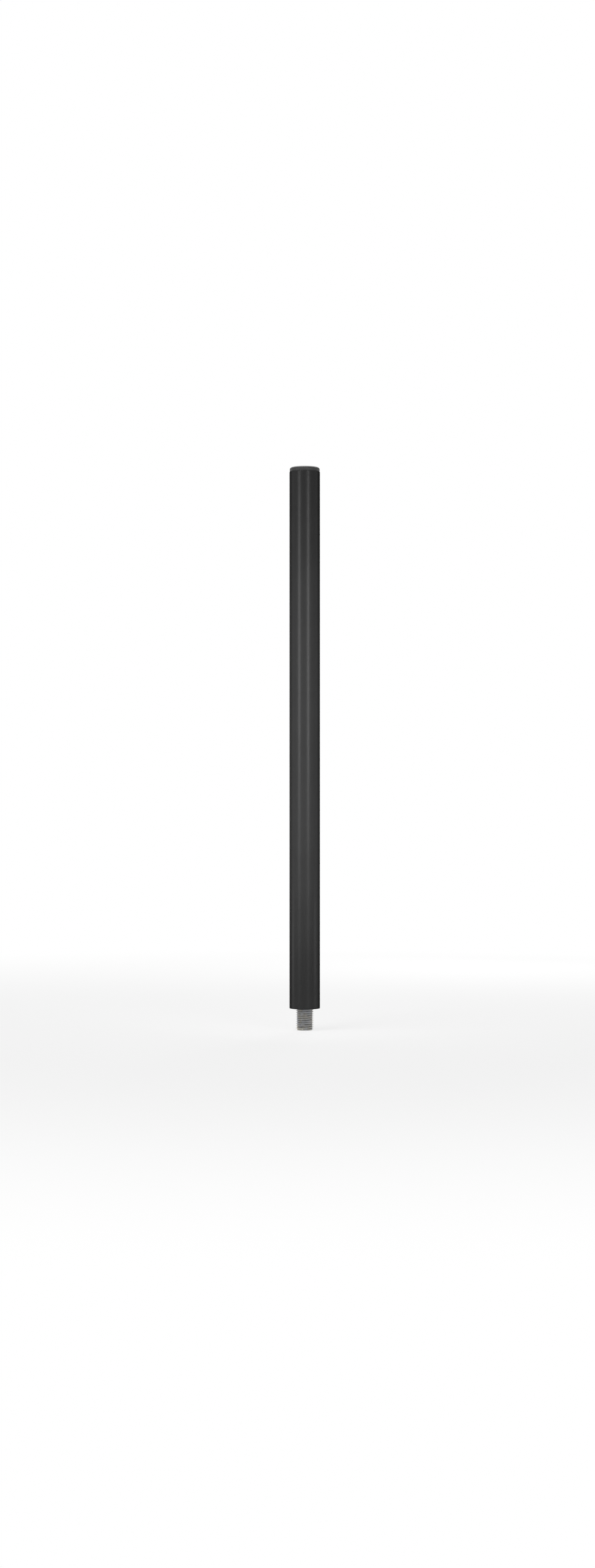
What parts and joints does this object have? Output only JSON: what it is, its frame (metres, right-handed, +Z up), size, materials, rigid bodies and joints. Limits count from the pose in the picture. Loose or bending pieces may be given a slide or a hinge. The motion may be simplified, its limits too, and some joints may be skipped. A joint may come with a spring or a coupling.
{
  "type": "speaker pole",
  "caption": "Fixed-length steel pole that screws onto a subwoofer by its threaded stud and carries a loudspeaker on its upper end.",
  "frame": {"origin": "on the pole's axis, in the plane where its foot seats on the subwoofer", "axes": "+Z up along the pole, from the subwoofer to the loudspeaker; X along the spring pin; Y from front to back"},
  "size_m": [0.035, 0.035, 0.645],
  "materials": {
    "powder_coat": "satin",
    "zinc_plate": "satin",
    "turned_steel": "satin",
    "spring_steel": "satin",
    "black_nylon": "matte"
  },
  "bodies": {
    "root": {"pole_tube": "powder_coat", "foot_bush": "turned_steel", "threaded_stud": "zinc_plate", "cross_pin": "spring_steel", "top_plug": "black_nylon"}
  },
  "joints": []
}
